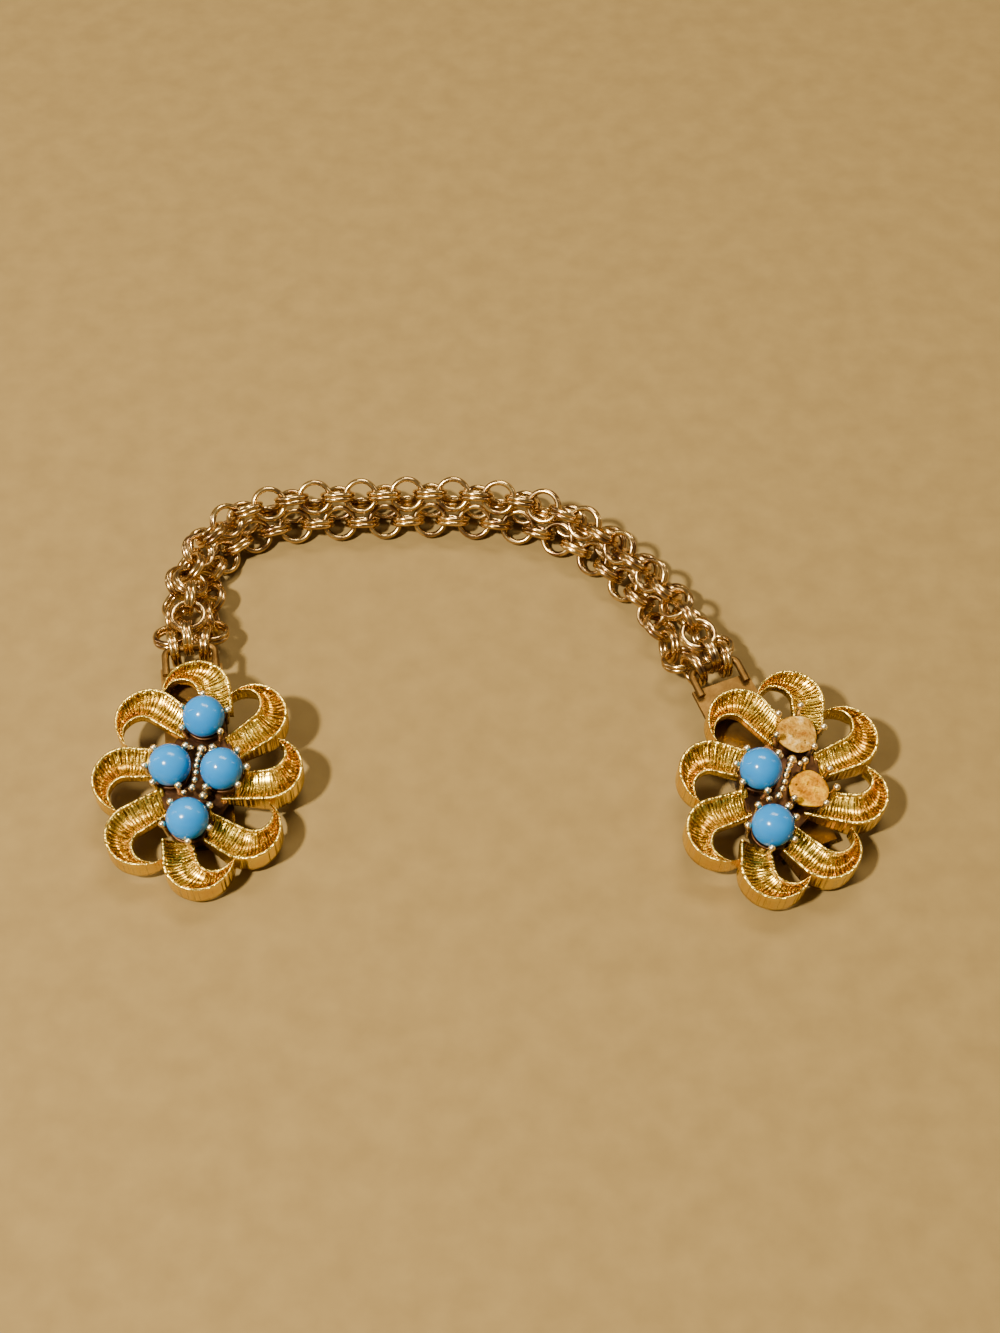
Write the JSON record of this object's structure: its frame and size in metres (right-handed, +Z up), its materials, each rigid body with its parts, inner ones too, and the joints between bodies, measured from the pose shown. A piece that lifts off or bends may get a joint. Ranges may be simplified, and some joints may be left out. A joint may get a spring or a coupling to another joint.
{
  "type": "sweater clip",
  "caption": "Sweater clip: two cast flower clips set with round blue stones, joined by a chain of three strands of doubled rings, lying flat with the chain in an arch.",
  "frame": {"origin": "on the surface that the clip lies on, under the middle of the whole", "axes": "+X from the left clip to the right clip, +Y towards the top of the chain's arch, +Z up from the surface"},
  "size_m": [0.0908, 0.062, 0.0107],
  "materials": {
    "flower_gold": "satin gold-tone plating with brushed lines",
    "chain_gold": "worn antique gold-tone plating",
    "clip_gold": "polished gold-tone plating",
    "blue_stone": "opaque sky blue, glossy",
    "pale_glue": "dried cream glue",
    "amber_glue": "dried amber glue with dark specks",
    "pin_steel": "plain spring steel"
  },
  "bodies": {
    "clip_body": {"left_flower": "flower_gold", "right_flower": "flower_gold", "left_stone_top": "blue_stone", "left_stone_left": "blue_stone", "left_stone_right": "blue_stone", "left_stone_bottom": "blue_stone", "right_stone_left": "blue_stone", "right_stone_bottom": "blue_stone", "right_glue_top": "pale_glue", "right_glue_right": "amber_glue", "left_clip_plate": "clip_gold", "right_clip_plate": "clip_gold", "left_hinge_pin": "pin_steel", "right_hinge_pin": "pin_steel", "left_clip_spring": "pin_steel", "right_clip_spring": "pin_steel", "chain_front": "chain_gold", "chain_middle": "chain_gold", "chain_back": "chain_gold"},
    "left_lever": {"left_clip_lever": "clip_gold"},
    "right_lever": {"right_clip_lever": "clip_gold"}
  },
  "joints": [
    {"name": "left_clip", "type": "hinge", "parent": "clip_body", "child": "left_lever", "pos_m": [-0.03396, -0.01093, 0.00155], "axis": [0.9903, 0.1392, 0], "range_deg": [0, 18], "stiffness_Nm_per_rad": 0.02, "springref_deg": -28.65, "deforming": ["left_clip_spring"]},
    {"name": "right_clip", "type": "hinge", "parent": "clip_body", "child": "right_lever", "pos_m": [0.03173, -0.01251, 0.00155], "axis": [0.9205, 0.3907, 0], "range_deg": [0, 18], "stiffness_Nm_per_rad": 0.02, "springref_deg": -28.65, "deforming": ["right_clip_spring"]}
  ]
}
